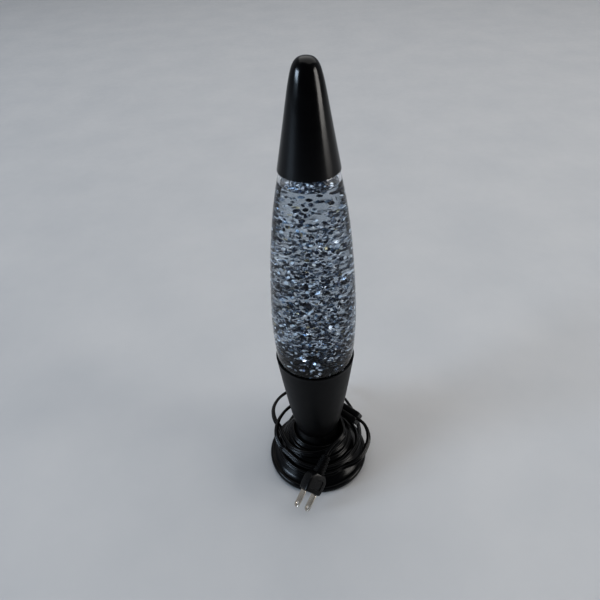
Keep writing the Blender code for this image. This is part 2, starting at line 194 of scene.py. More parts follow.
def cut(obj, cutter):
    cutter.hide_render = True
    cutter.hide_viewport = True
    hole = obj.modifiers.new("cut", "BOOLEAN")
    hole.operation = "DIFFERENCE"
    hole.object = cutter
    hole.solver = "EXACT"


def keep_modifiers(obj):
    """Applies the modifiers, so that the piece is a plain mesh, and removes what only cut it."""
    cutters = [m.object for m in obj.modifiers if m.type == "BOOLEAN"]
    for cutter in cutters:
        cutter.hide_viewport = False
    bpy.context.view_layer.update()
    graph = bpy.context.evaluated_depsgraph_get()
    mesh = bpy.data.meshes.new_from_object(obj.evaluated_get(graph))
    obj.modifiers.clear()
    obj.data = mesh
    mesh.shade_smooth()
    mesh.set_sharp_from_angle(angle=math.radians(SHARP_ANGLE))
    for cutter in set(cutters):
        bpy.data.objects.remove(cutter)
    return obj


# Outlines

def flare_radius(z):
    part = max(0.0, min(1.0, (WAIST_Z - z) / (WAIST_Z - LIP_Z)))
    return WAIST_R + (FLARE_R - WAIST_R) * part ** 1.25


def cup_radius(z):
    part = max(0.0, (z - WAIST_Z) / (CUP_RIM_Z - WAIST_Z))
    return WAIST_R + (CUP_RIM_R - WAIST_R) * part ** 0.75


def steps_between(low, high, count):
    return [low + (high - low) * i / count for i in range(count + 1)]


def glass_curve():
    """Outer outline of the bottle between the cup's rim and the cap's rim."""
    rise = CAP_RIM_Z - CUP_RIM_Z
    belly = [(0.00, 31.0), (0.12, 32.5), (0.25, 33.0), (0.40, 32.1), (0.55, 30.5), (0.70, 28.2),
             (0.85, 24.8), (1.00, 20.0)]
    body = [Vector((r * MM, 0.0, CUP_RIM_Z + GLASS_GAP + u * (rise - 2.0 * GLASS_GAP))) for u, r in belly]
    return [(min(p.x, BELLY_R), p.z) for p in smooth_points(body, 8)]


def curve_radius(curve, z):
    for (r0, z0), (r1, z1) in zip(curve, curve[1:]):
        if z0 <= z <= z1:
            return r0 + (r1 - r0) * (z - z0) / (z1 - z0)
    return curve[0][0] if z < curve[0][1] else curve[-1][0]


# Lead routes

EXIT_LEAD = [(0.0, 60.6, 12.5), (0.2, 63.0, 12.4), (2.0, 66.6, 12.1), (7.5, 70.4, 11.5),
             (16.5, 70.8, 11.0), (25.0, 65.5, 11.0), (31.5, 56.0, 11.5), (36.0, 45.0, 12.3),
             (39.5, 33.0, 13.2), (41.3, 21.0, 14.0)]
REAR_LEAD = [(-36.3, 9.5, 30.0), (-39.8, 16.0, 30.0), (-42.0, 24.0, 30.0), (-42.0, 33.5, 30.0),
             (-38.0, 43.0, 30.3), (-31.0, 50.0, 31.0), (-21.5, 54.3, 32.0), (-12.0, 54.6, 33.2),
             (-5.5, 51.3, 34.2), (-1.2, 47.5, 34.6), (2.6, 43.9, 34.7)]
LOOP_RIGHT = [(40.0, 9.4, 34.7), (44.6, 4.9, 33.2), (47.5, -1.5, 29.5), (47.4, -8.0, 25.5),
              (44.6, -14.0, 22.3), (40.8, -20.0, 20.5)]
LOOP_LEFT = [(-35.6, -10.9, 28.5), (-38.7, -3.4, 32.0), (-38.4, 5.4, 36.0), (-34.8, 14.0, 38.4),
             (-27.2, 22.8, 40.4), (-15.5, 29.1, 42.4), (-4.1, 29.2, 44.2), (4.5, 25.8, 45.4)]
PLUG_LEAD = [(23.6, -14.5, 47.2), (19.6, -20.6, 46.6), (14.0, -25.6, 44.9), (8.7, -30.3, 42.1),
             (6.65, -33.1, 39.9)]


def metres(route):
    return [Vector(p) * MM for p in route]


def round_point(degrees, radius_mm, z_mm):
    angle = math.radians(degrees)
    return Vector((radius_mm * math.cos(angle), radius_mm * math.sin(angle), z_mm)) * MM


def on_skirt(degrees, z_mm, layer):
    """Point of a turn that lies over the skirt's surface at that height."""
    angle = math.radians(degrees)
    z = z_mm * MM
    radius = flare_radius(z) + layer * SLOPE_OUT.x
    return Vector((radius * math.cos(angle), radius * math.sin(angle), z + layer * SLOPE_OUT.y))


def wound(start, end, z_start, z_end, layer_start, layer_end, wobble=0.0):
    """Points of turns from one azimuth to another, clockwise from above, 24 to a turn."""
    count = max(2, round(abs(end - start) / 15.0))
    out = []
    for i in range(count + 1):
        share = i / count
        degrees = start + (end - start) * share
        layer = layer_start + (layer_end - layer_start) * share
        z = z_start + (z_end - z_start) * share + wobble * math.sin(math.radians(degrees * 1.7))
        out.append(on_skirt(degrees, z, layer))
    return out


def base_route():
    """From the strain relief round the waist to the switch."""
    join = [round_point(8.0, 41.2, 16.2), round_point(-14.0, 37.6, 18.4)]
    climb = wound(-36.0, -1400.0, 20.6, 40.0, LAYER_1, LAYER_1, 0.25)
    over = [round_point(-1415.0, 22.2, 41.2), round_point(-1440.0, 23.2, 41.4),
            round_point(-1465.0, 25.6, 40.8)]
    front = wound(-1485.0, -1590.0, 38.0, 29.5, LAYER_2, LAYER_2)
    leave = [round_point(-1608.0, 31.4, 30.6), round_point(-1622.0, 33.6, 30.2)]
    return metres(EXIT_LEAD) + join + climb + over + front + leave + metres(REAR_LEAD)


def plug_route():
    """From the switch round the foot and the waist to the plug."""
    land = [round_point(-38.0, 42.6, 18.6)]
    low = wound(-52.0, -190.0, 15.4, 15.6, LAYER_1, LAYER_1, 0.2)
    under = wound(-235.0, -375.0, 17.3, 18.2, LAYER_2, LAYER_2, 0.15)
    front = wound(-395.0, -500.0, 20.0, 24.0, LAYER_2, LAYER_2)
    leave = [round_point(-515.0, 35.3, 26.8)]
    waist = [round_point(55.0, 22.6, 46.6), round_point(30.0, 21.8, 47.2), round_point(5.0, 22.0, 47.4),
             round_point(-15.0, 24.0, 47.6)]
    return (metres(LOOP_RIGHT) + land + low + under + front + leave + metres(LOOP_LEFT) + waist
            + metres(PLUG_LEAD))


def length_of(points):
    return sum((b - a).length for a, b in zip(points, points[1:]))


def twin_section():
    """Outline of the flat twin lead: two round conductors with a groove between them."""
    lobe = CORD_THICK / 2.0
    centre = CORD_WIDTH / 2.0 - lobe
    upper = []
    for i in range(13):
        x = -CORD_WIDTH / 2.0 + CORD_WIDTH * i / 12
        inside = max(0.0, lobe ** 2 - (abs(x) - centre) ** 2)
        groove = lobe * (0.66 if i == 6 else 0.0)
        upper.append((x, max(math.sqrt(inside), groove)))
    lower = [(x, -y) for x, y in upper[-2:0:-1]]
    return upper + lower


def twin_lead(name, route, hint_start, hint_end, mat):
    """Sweeps the flat lead along a route, its broad face against the skirt."""
    points = smooth_points(route, 5)
    section = twin_section()
    bm = bmesh.new()
    rings = []
    last = len(points) - 1
    ends = 30.0 * MM
    run = 0.0
    total = length_of(points)
    for k, point in enumerate(points):
        if k:
            run += (point - points[k - 1]).length
        tangent = (points[min(k + 1, last)] - points[max(k - 1, 0)]).normalized()
        flat = Vector((point.x, point.y, 0.0)).normalized()
        hint = Vector((-SLOPE_OUT.y * flat.x, -SLOPE_OUT.y * flat.y, SLOPE_OUT.x))
        for target, distance in ((hint_start, run), (hint_end, total - run)):
            if distance < ends:
                share = 0.5 + 0.5 * math.cos(math.pi * distance / ends)
                toward = target if target.dot(hint) > 0.0 else -target
                hint = hint.lerp(toward, share)
        wide = (hint - tangent * hint.dot(tangent)).normalized()
        thick = tangent.cross(wide)
        rings.append([bm.verts.new(point + wide * x + thick * y) for x, y in section])
    for low, high in zip(rings, rings[1:]):
        for i in range(len(section)):
            j = (i + 1) % len(section)
            bm.faces.new((low[i], low[j], high[j], high[i]))
    bm.faces.new(rings[0])
    bm.faces.new(rings[-1])
    return add_piece(name, bm, mat, None, 60.0), points


# Materials

def new_material(name):
    mat = bpy.data.materials.new(name)
    mat.use_nodes = True
    tree = mat.node_tree
    return mat, tree, tree.nodes["Principled BSDF"]


def add_node(tree, kind, **values):
    node = tree.nodes.new(kind)
    for key, value in values.items():
        setattr(node, key, value)
    return node


def place_coordinates(tree, scale):
    """Object coordinates in metres, scaled."""
    source = add_node(tree, "ShaderNodeTexCoord")
    mapping = add_node(tree, "ShaderNodeMapping")
    mapping.inputs["Scale"].default_value = scale
    tree.links.new(source.outputs["Object"], mapping.inputs["Vector"])
    return mapping.outputs["Vector"]


def noise(tree, scale, detail=4.0, stretch=(1.0, 1.0, 1.0)):
    node = add_node(tree, "ShaderNodeTexNoise")
    node.inputs["Scale"].default_value = scale
    node.inputs["Detail"].default_value = detail
    tree.links.new(place_coordinates(tree, stretch), node.inputs["Vector"])
    return node.outputs["Fac"]


def ramp(tree, fac, stops):
    node = add_node(tree, "ShaderNodeValToRGB")
    elements = node.color_ramp.elements
    while len(elements) < len(stops):
        elements.new(0.5)
    for element, (position, colour) in zip(elements, stops):
        element.position = position
        element.color = (*colour, 1.0) if len(colour) == 3 else colour
    tree.links.new(fac, node.inputs["Fac"])
    return node.outputs["Color"]


def in_range(tree, value, low, high, to_low, to_high):
    node = add_node(tree, "ShaderNodeMapRange")
    node.inputs["From Min"].default_value = low
    node.inputs["From Max"].default_value = high
    node.inputs["To Min"].default_value = to_low
    node.inputs["To Max"].default_value = to_high
    tree.links.new(value, node.inputs["Value"])
    return node.outputs["Result"]


def height(tree):
    source = add_node(tree, "ShaderNodeTexCoord")
    split = add_node(tree, "ShaderNodeSeparateXYZ")
    tree.links.new(source.outputs["Object"], split.inputs["Vector"])
    return split.outputs["Z"]


def bump(tree, shader, fac, strength, distance):
    node = add_node(tree, "ShaderNodeBump")
    node.inputs["Strength"].default_value = strength
    node.inputs["Distance"].default_value = distance
    tree.links.new(fac, node.inputs["Height"])
    tree.links.new(node.outputs["Normal"], shader.inputs["Normal"])


def cap_paint():
    """Glossy black sprayed paint: faint orange peel, and slight variation of tone and gloss."""
    mat, tree, shader = new_material("cap_paint")
    dark, light = (0.0015, 0.0015, 0.002), (0.003, 0.003, 0.0035)
    tree.links.new(ramp(tree, noise(tree, 55.0), [(0.3, dark), (0.7, light)]), shader.inputs["Base Color"])
    tree.links.new(in_range(tree, noise(tree, 140.0), 0.3, 0.7, 0.15, 0.21), shader.inputs["Roughness"])
    shader.inputs["Specular IOR Level"].default_value = 0.26
    bump(tree, shader, noise(tree, 900.0, 2.0), 0.08, 0.0002)
    return mat


def base_paint():
    """Black paint on the spun base: satin on the cup, glossy on the foot."""
    mat, tree, shader = new_material("base_paint")
    dark, light = (0.0015, 0.0015, 0.0018), (0.0030, 0.0030, 0.0035)
    tree.links.new(ramp(tree, noise(tree, 60.0), [(0.3, dark), (0.7, light)]), shader.inputs["Base Color"])
    rise = in_range(tree, height(tree), 0.018, 0.070, 0.23, 0.40)
    mixed = add_node(tree, "ShaderNodeMath", operation="ADD")
    tree.links.new(rise, mixed.inputs[0])
    tree.links.new(in_range(tree, noise(tree, 160.0), 0.3, 0.7, -0.02, 0.03), mixed.inputs[1])
    tree.links.new(mixed.outputs["Value"], shader.inputs["Roughness"])
    shader.inputs["Specular IOR Level"].default_value = 0.15
    bump(tree, shader, noise(tree, 1100.0, 2.0), 0.03, 0.0002)
    return mat


def vinyl(name, colour, rough, ripple=700.0, strength=0.1, gloss=0.32):
    """Vinyl, rubber or moulded plastic: a fine grain of the given strength, and the given gloss."""
    mat, tree, shader = new_material(name)
    lighter = tuple(c * 1.6 + 0.0005 for c in colour)
    tree.links.new(ramp(tree, noise(tree, 120.0), [(0.3, colour), (0.75, lighter)]),
                   shader.inputs["Base Color"])
    tree.links.new(in_range(tree, noise(tree, 260.0), 0.3, 0.7, rough - 0.02, rough + 0.04),
                   shader.inputs["Roughness"])
    shader.inputs["Specular IOR Level"].default_value = gloss
    bump(tree, shader, noise(tree, ripple, 3.0), strength, 0.0002)
    return mat


def metal(name, dark, light, rough_low, rough_high, stretch=(1.0, 1.0, 1.0)):
    """Plated or drawn metal with fine scratches along one direction."""
    mat, tree, shader = new_material(name)
    tree.links.new(ramp(tree, noise(tree, 150.0), [(0.3, dark), (0.7, light)]), shader.inputs["Base Color"])
    tree.links.new(in_range(tree, noise(tree, 500.0, 4.0, stretch), 0.3, 0.7, rough_low, rough_high),
                   shader.inputs["Roughness"])
    shader.inputs["Metallic"].default_value = 1.0
    bump(tree, shader, noise(tree, 1500.0, 3.0, stretch), 0.06, 0.0001)
    return mat


def refracting(name, tint, ior):
    """Clear material that bends light, and lets lamps through so that what is inside is lit."""
    mat, tree, shader = new_material(name)
    streak = noise(tree, 30.0, 3.0, (1.0, 1.0, 0.3))
    darker = tuple(c * 0.96 for c in tint)
    tree.links.new(ramp(tree, streak, [(0.25, darker), (0.75, tint)]), shader.inputs["Base Color"])
    shader.inputs["Transmission Weight"].default_value = 1.0
    shader.inputs["Roughness"].default_value = 0.0
    shader.inputs["IOR"].default_value = ior
    through_lamps(tree, shader, tint)
    return mat


def through_lamps(tree, shader, tint):
    open_way = add_node(tree, "ShaderNodeBsdfTransparent")
    open_way.inputs["Color"].default_value = (*tint, 1.0)
    rays = add_node(tree, "ShaderNodeLightPath")
    mix = add_node(tree, "ShaderNodeMixShader")
    tree.links.new(rays.outputs["Is Shadow Ray"], mix.inputs["Fac"])
    tree.links.new(shader.outputs["BSDF"], mix.inputs[1])
    tree.links.new(open_way.outputs["BSDF"], mix.inputs[2])
    tree.links.new(mix.outputs["Shader"], tree.nodes["Material Output"].inputs["Surface"])


def joined_face(name, low, high):
    """Where glass and liquid touch: no reflection, only a little of the light is taken."""
    mat, tree, shader = new_material(name)
    tree.nodes.remove(shader)
    film = add_node(tree, "ShaderNodeBsdfTransparent")
    tree.links.new(ramp(tree, noise(tree, 25.0, 2.0), [(0.3, low), (0.7, high)]), film.inputs["Color"])
    tree.links.new(film.outputs["BSDF"], tree.nodes["Material Output"].inputs["Surface"])
    return mat


def paint_faces(obj, index, test):
    """Gives the faces whose centre and direction pass the test another of the object's materials."""
    for face in obj.data.polygons:
        centre = face.center
        if test(Vector((centre.x, centre.y)).length, centre.z, face.normal):
            face.material_index = index


def flake_metal(name, dark, light, rough, metallic=0.9):
    """Coated glitter, each flake a little different in tone and gloss."""
    mat, tree, shader = new_material(name)
    tree.links.new(ramp(tree, noise(tree, 700.0, 1.0), [(0.35, dark), (0.65, light)]),
                   shader.inputs["Base Color"])
    tree.links.new(in_range(tree, noise(tree, 900.0, 1.0), 0.3, 0.7, rough, rough + 0.12),
                   shader.inputs["Roughness"])
    shader.inputs["Metallic"].default_value = metallic
    return mat


# Lamp body

def stand_for(obj, body, slot, *nodes):
    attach(obj, body)
    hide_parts(*nodes)


def build_base(mat):
    lip = [(44.9, 0.8), (45.5, 1.2), (46.0, 2.1), (46.25, 3.3), (46.3, 4.3), (46.2, 5.3), (45.8, 6.3),
           (45.2, 7.0), (44.5, 7.35), (43.6, 7.35), (42.6, 7.15), (41.8, 7.2), (41.2, 7.7)]
    outer = in_mm(lip)
    outer += [(flare_radius(z), z) for z in steps_between(LIP_Z + 1.0 * MM, WAIST_Z, 28)]
    outer += [(cup_radius(z), z) for z in steps_between(WAIST_Z + 1.2 * MM, CUP_RIM_Z - 0.8 * MM, 36)]
    outer += in_mm([(32.2, 135.55), (32.05, 135.85), (31.7, 136.0), (31.35, 135.85)])
    inner = [(cup_radius(z) - SHEET, z) for z in steps_between(CUP_RIM_Z - 0.5 * MM, WAIST_Z + 1.2 * MM, 18)]
    inner += [(flare_radius(z) - SHEET, z) for z in steps_between(WAIST_Z, LIP_Z + 0.4 * MM, 14)]
    inner += in_mm([(42.2, 6.4), (44.2, 6.3), (44.8, 5.4), (44.8, 2.0), (44.4, 0.8)])
    shell = turned("base_shell_spun", outer + inner, mat)
    along_y = Matrix.Translation((0.0, 0.0, EXIT_Z)) @ Matrix.Rotation(math.radians(-90.0), 4, "X")
    hole = turned("exit_hole_cutter", [(0, 30 * MM), (3.9 * MM, 30 * MM), (3.9 * MM, 46 * MM), (0, 46 * MM)],
                  mat, 48, along_y)
    cut(shell, hole)
    stand_for(keep_modifiers(shell), "base", "base_black", "base_shell")


def build_cap(mat):
    side = [(20.8, 300.0), (20.75, 300.6), (20.6, 301.6), (17.1, 320.4), (13.4, 340.8), (11.7, 350.0),
            (10.0, 357.6), (8.5, 362.4), (6.6, 365.6), (4.0, 367.4), (0.0, 368.0), (-4.0, 367.4)]
    curve = smooth_points([Vector((r * MM, 0.0, z * MM)) for r, z in side], 5)
    outer = [(p.x, min(p.z, CAP_TOP_Z)) for p in curve if p.x > 0.2 * MM] + [(0.0, CAP_TOP_Z)]
    inner = in_mm([(0.0, 366.8), (3.6, 366.2), (5.8, 364.6), (7.5, 361.7), (8.9, 357.0), (10.6, 349.6),
                   (12.3, 340.4), (16.0, 320.1), (19.75, 301.2), (20.1, 300.2), (20.4, 300.0)])
    cap = turned("cap_cone_spun", outer + inner, mat)
    stand_for(cap, "cap", "cap_black", "cap_cone")


def build_globe(mats):
    curve = glass_curve()
    heel = in_mm([(0.0, 124.6), (19.0, 124.4), (21.5, 124.0), (25.0, 124.0), (27.3, 125.0), (28.8, 127.2),
                  (29.7, 130.4), (30.5, 134.4)])
    shoulder = in_mm([(19.3, 301.3), (17.9, 303.8), (16.6, 306.0), (15.0, 308.2), (13.8, 310.2),
                      (13.1, 312.4), (12.9, 315.0), (13.1, 316.2), (13.4, 317.0), (13.4, 319.8),
                      (13.2, 320.6), (12.6, 321.0)])
    mouth = in_mm([(8.6, 321.0), (8.2, 320.4), (8.0, 312.0), (9.6, 309.0), (11.8, 307.0), (14.2, 304.4),
                   (15.8, 302.6)])
    inner = [(r - GLASS_WALL, z) for r, z in curve[::-1]]
    floor = in_mm([(28.2, 135.0), (27.4, 130.6), (26.3, 128.0), (24.4, 126.7), (0.0, 126.4)])
    faces = [mats["glass"], mats["glass_inside"]]
    glass = turned("bottle_glass_blown", heel + curve + shoulder + mouth + inner + floor, faces)
    paint_faces(glass, 1, lambda r, z, normal: z < CUP_RIM_Z
                or (z < LIQUID_Z and r < curve_radius(curve, z) - 0.7 * GLASS_WALL))
    stand_for(glass, "globe", "bottle_glass", "globe_glass")

    wall = GLASS_WALL + LIQUID_GAP
    fluid = in_mm([(0.0, 126.6), (24.2, 126.9), (26.1, 128.2), (27.2, 130.8), (28.0, 135.0)])
    fluid += [(r - wall, z) for r, z in curve if z < LIQUID_Z - 0.3 * MM]
    edge = curve_radius(curve, LIQUID_Z) - wall
    climb = curve_radius(curve, LIQUID_Z + 0.9 * MM) - wall
    meniscus = [(climb, LIQUID_Z + 0.9 * MM), (edge - 0.5 * MM, LIQUID_Z + 0.35 * MM),
                (edge - 1.3 * MM, LIQUID_Z + 0.08 * MM), (edge - 2.6 * MM, LIQUID_Z), (0.0, LIQUID_Z)]
    liquid = turned("liquid_clear", fluid + meniscus, [mats["liquid"], mats["liquid_top"]])
    paint_faces(liquid, 1, lambda r, z, normal: z > LIQUID_Z - 0.2 * MM and normal.z > 0.3)
    stand_for(liquid, "globe", "clear_liquid", "liquid")

    def flutes(r, z, angle):
        skirt = max(0.0, min(1.0, (322.0 * MM - z) / (5.0 * MM)))
        return r + 0.45 * MM * skirt * math.cos(21.0 * angle)

    crown = in_mm([(0, 323.1), (12.2, 323.1), (13.3, 322.9), (14.0, 322.3), (14.4, 321.0), (14.7, 318.6),
                   (14.9, 317.0), (14.3, 317.0), (14.0, 321.2), (12.9, 322.4), (0, 322.4)])
    lid = turned("crown_cap_pressed", crown, mats["nickel"], 168, radius_of=flutes)
    stand_for(lid, "globe", "nickel", "crown_cap")


# Glitter

FLAKE_SIZES = (1.05, 1.70)   # millimetres from centre to corner
FLAKE_COUNT = 3700
FLAKE_LOW = 128.5 * MM
FLAKE_HIGH = 289.5 * MM
# How far down the liquid, and how crowded it is there
FLAKE_DENSITY = ((0.0, 0.03), (0.06, 0.10), (0.14, 0.40), (0.30, 0.66), (0.50, 0.88), (0.70, 1.0),
                 (0.87, 1.0), (0.92, 0.30), (1.0, 0.18))
FLAKE_SHARES = (("glitter_silver", 0.28), ("glitter_dark", 0.44), ("glitter_blue", 0.11),
                ("glitter_gold", 0.02), ("glitter_white", 0.15))
FLAKE_HALF = 0.03 * MM
FLAKE_SIDES = 6
FLAKE_LEAN = 46.0            # degrees, spread of the flakes' lean from flat
FLAKE_CLEAR = 1.3 * MM       # from a flake's centre to the glass
HEEL_ROOM = 25.5 * MM        # how far out flakes lie in the narrow heel below the cup's rim


def crowd(share):
    for (s0, c0), (s1, c1) in zip(FLAKE_DENSITY, FLAKE_DENSITY[1:]):
        if s0 <= share <= s1:
            return c0 + (c1 - c0) * (share - s0) / (s1 - s0)
    return FLAKE_DENSITY[-1][1]


def add_flake(bm, centre, tilt, size):
    """Thin six-sided flake with straight edges."""
    rings = []
    for side in (-FLAKE_HALF, FLAKE_HALF):
        ring = []
        for i in range(FLAKE_SIDES):
            angle = TURN * i / FLAKE_SIDES
            local = Vector((size * math.cos(angle), size * math.sin(angle), side))
            ring.append(bm.verts.new(centre + tilt @ local))
        rings.append(ring)
    bm.faces.new(rings[0][::-1])
    bm.faces.new(rings[1])
    for i in range(FLAKE_SIDES):
        j = (i + 1) % FLAKE_SIDES
        bm.faces.new((rings[0][i], rings[0][j], rings[1][j], rings[1][i]))


def build_glitter(mats):
    """Flakes that hang in the liquid: most in its lower half, few near its level and in its heel."""
    draw = random.Random(14)
    curve = glass_curve()
    names = [name for name, share in FLAKE_SHARES]
    weights = [share for name, share in FLAKE_SHARES]
    meshes = {name: bmesh.new() for name in names}
    made = 0
    while made < FLAKE_COUNT:
        share = draw.random()
        z = FLAKE_HIGH - (FLAKE_HIGH - FLAKE_LOW) * share
        if draw.random() > crowd(share):
            continue
        room = curve_radius(curve, max(z, CUP_RIM_Z)) - GLASS_WALL - FLAKE_CLEAR
        if z < CUP_RIM_Z:
            room = min(room, HEEL_ROOM)
        radius = room * math.sqrt(draw.random())
        angle = TURN * draw.random()
        centre = Vector((radius * math.cos(angle), radius * math.sin(angle), z))
        lean = math.radians(draw.gauss(0.0, FLAKE_LEAN))
        tilt = (Matrix.Rotation(TURN * draw.random(), 3, "Z") @ Matrix.Rotation(lean, 3, "X")
                @ Matrix.Rotation(TURN * draw.random(), 3, "Z"))
        size = draw.uniform(*FLAKE_SIZES) * MM
        add_flake(meshes[draw.choices(names, weights)[0]], centre, tilt, size)
        made += 1
    for name in names:
        obj = add_piece(name, meshes[name], mats[name], None, 20.0)
        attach(obj, "globe")


# Strain relief, switch and plug

def build_strain_relief(mat):
    outline = [(0.0, 32.6), (3.4, 32.6), (3.5, 33.0), (3.5, 41.6), (4.3, 42.0), (4.5, 42.3)]
    first, last, pitch, depth, taper = 42.6, 58.0, 2.3, 0.55, 0.085
    y = first
    while y < last:
        around = 4.5 - (y - first) * taper
        outline += [(around, y), (around, y + 1.1), (around - depth, y + 1.4), (around - depth, y + 1.9)]
        y += pitch
    outline += [(3.2, 59.4), (2.9, 59.9), (0.0, 60.0)]
    along_y = Matrix.Translation((0.0, 0.0, EXIT_Z)) @ Matrix.Rotation(math.radians(-90.0), 4, "X")
    relief = turned("strain_relief_ribbed", in_mm(outline), mat, 48, along_y)
    stand_for(relief, "base", "black_rubber", "strain_relief")
    return relief


def build_switch(mats):
    frame_matrix = frame_of(SWITCH_CENTRE, SWITCH_LONG, SWITCH_OUT.cross(SWITCH_LONG))
    outline = [(-25.0, -5.0), (-24.0, -6.2), (-18.0, -9.6), (18.0, -9.6), (24.0, -6.2), (25.0, -5.0),
               (25.0, 5.0), (24.0, 6.2), (18.0, 9.6), (-18.0, 9.6), (-24.0, 6.2), (-25.0, 5.0)]
    moulded = mats["moulded"]
    lower = extruded("switch_case_lower", outline, -CASE_HALF, -CASE_SEAM, moulded, frame_matrix, 0.9, 4)
    upper = extruded("switch_case_upper", outline, CASE_SEAM, CASE_HALF, moulded, frame_matrix, 0.9, 4)
    window = [(-7.3, -4.3), (7.3, -4.3), (7.3, 4.3), (-7.3, 4.3)]
    cut(upper, extruded("rocker_window_cutter", window, 2.4, 9.0, moulded, frame_matrix, 0.0))
    for end in (-1.0, 1.0):
        for k in range(4):
            x = end * (14.0 + 2.1 * k)
            groove = [(x - 0.4, -8.0), (x + 0.4, -8.0), (x + 0.4, 8.0), (x - 0.4, 8.0)]
            name = f"grip_cutter_{k}_{'front' if end > 0 else 'rear'}"
            cut(upper, extruded(name, groove, 4.9, 7.0, moulded, frame_matrix, 0.0))
    for x in (-SCREW_X, SCREW_X):
        bore = frame_matrix @ Matrix.Translation((x * MM, 0.0, 0.0))
        name = f"screw_bore_cutter_{'front' if x > 0 else 'rear'}"
        cut(lower, turned(name, in_mm([(0, -8.0), (2.1, -8.0), (2.1, -2.2), (0, -2.2)]), moulded, 32, bore))
    stand_for(keep_modifiers(lower), "base", "moulded_vinyl", "switch_lower_case")
    stand_for(keep_modifiers(upper), "base", "moulded_vinyl", "switch_upper_case")

    tilt = Matrix.Translation((0.0, 0.0, 4.6 * MM)) @ Matrix.Rotation(math.radians(ROCKER_TILT), 4, "Y")
    side = frame_matrix @ tilt @ Matrix.Rotation(math.radians(90.0), 4, "X")
    profile = [(-6.6, 0.9), (-6.2, -0.6), (-1.6, -1.6), (1.6, -1.6), (6.2, -0.6), (6.6, 0.9), (5.2, 1.15),
               (3.4, 1.12), (1.6, 0.9), (0.0, 0.75), (-1.6, 0.9), (-3.4, 1.12), (-5.2, 1.15)]
    rocker = extruded("switch_rocker_moulded", profile, -4.0, 4.0, moulded, side, 0.25, 2, 30.0)
    stand_for(keep_modifiers(rocker), "rocker", "moulded_vinyl", "switch_rocker")
    return lower, upper, rocker


def ribbed_neck(name, low, high, radius_low, radius_high, ribs, mat, matrix):
    outline = [(0.0, low)]
    pitch = (high - low) / ribs
    for k in range(ribs):
        z = low + pitch * k
        around = radius_low + (radius_high - radius_low) * k / ribs
        outline += [(around - 0.25, z + 0.05), (around, z + 0.3), (around, z + 0.55 * pitch),
                    (around - 0.25, z + 0.62 * pitch), (around - 1.0, z + 0.68 * pitch),
                    (around - 1.0, z + 0.97 * pitch)]
    outline += [(radius_high - 1.0, high), (0.0, high)]
    return turned(name, in_mm(outline), mat, 48, matrix)


def build_plug(mats):
    matrix = frame_of(PLUG_FRONT, PLUG_POINT, PLUG_SPREAD)
    edge = [(0.0, 8.8), (-3.0, 9.3), (-6.0, 9.6), (-9.0, 9.75), (-11.0, 9.7), (-13.2, 9.2), (-15.0, 8.0),
            (-16.6, 6.4), (-18.0, 4.9)]
    outline = [(x, -y) for x, y in edge] + edge[::-1]
    moulded = mats["moulded"]
    body = extruded("plug_body_moulded", outline, -PLUG_HALF, PLUG_HALF, moulded, matrix, 1.5, 4, 50.0)
    keep_modifiers(body)
    recess = [(-4.0, -5.4), (-11.5, -5.8), (-13.0, -4.4), (-13.0, 4.4), (-11.5, 5.8), (-4.0, 5.4)]
    for side, name in ((1.0, "upper"), (-1.0, "lower")):
        low, high = (4.85, 8.0) if side > 0 else (-8.0, -4.85)
        cut(body, extruded(f"plug_recess_cutter_{name}", recess, low, high, moulded, matrix, 0.0))
    stand_for(keep_modifiers(body), "base", "moulded_vinyl", "plug_body")
    back = matrix @ Matrix.Rotation(math.radians(-90.0), 4, "Y")
    neck = ribbed_neck("plug_neck_ribbed", 18.2, 34.0, 5.4, 4.0, 6, moulded, back)
    stand_for(neck, "base", "moulded_vinyl", "plug_strain_relief")
    made = [body, neck]
    upper_edge = [(0.3, 3.15), (13.8, 3.15), (14.7, 2.55), (15.4, 1.9), (15.9, 0.85), (16.2, 0.0)]
    blade_outline = [(x, -y) for x, y in upper_edge] + upper_edge[-2::-1]
    for name, side in (("left", 1.0), ("right", -1.0)):
        place = matrix @ Matrix.Translation((0.0, side * BLADE_SIDE, 0.0))
        flat = place @ Matrix.Rotation(math.radians(90.0), 4, "X")
        blade = extruded(f"plug_blade_{name}_plated", blade_outline, -BLADE_HALF, BLADE_HALF,
                         mats["blade"], flat, 0.28)
        keep_modifiers(blade)
        hole = turned(f"blade_hole_cutter_{name}", in_mm([(0, -3.0), (1.6, -3.0), (1.6, 3.0), (0, 3.0)]),
                      mats["blade"], 40, flat @ Matrix.Translation((BLADE_HOLE_X, 0.0, 0.0)))
        cut(blade, hole)
        stand_for(keep_modifiers(blade), "base", "nickel", f"plug_blade_{name}")
        made.append(blade)
    return made


# Bulb under the bottle

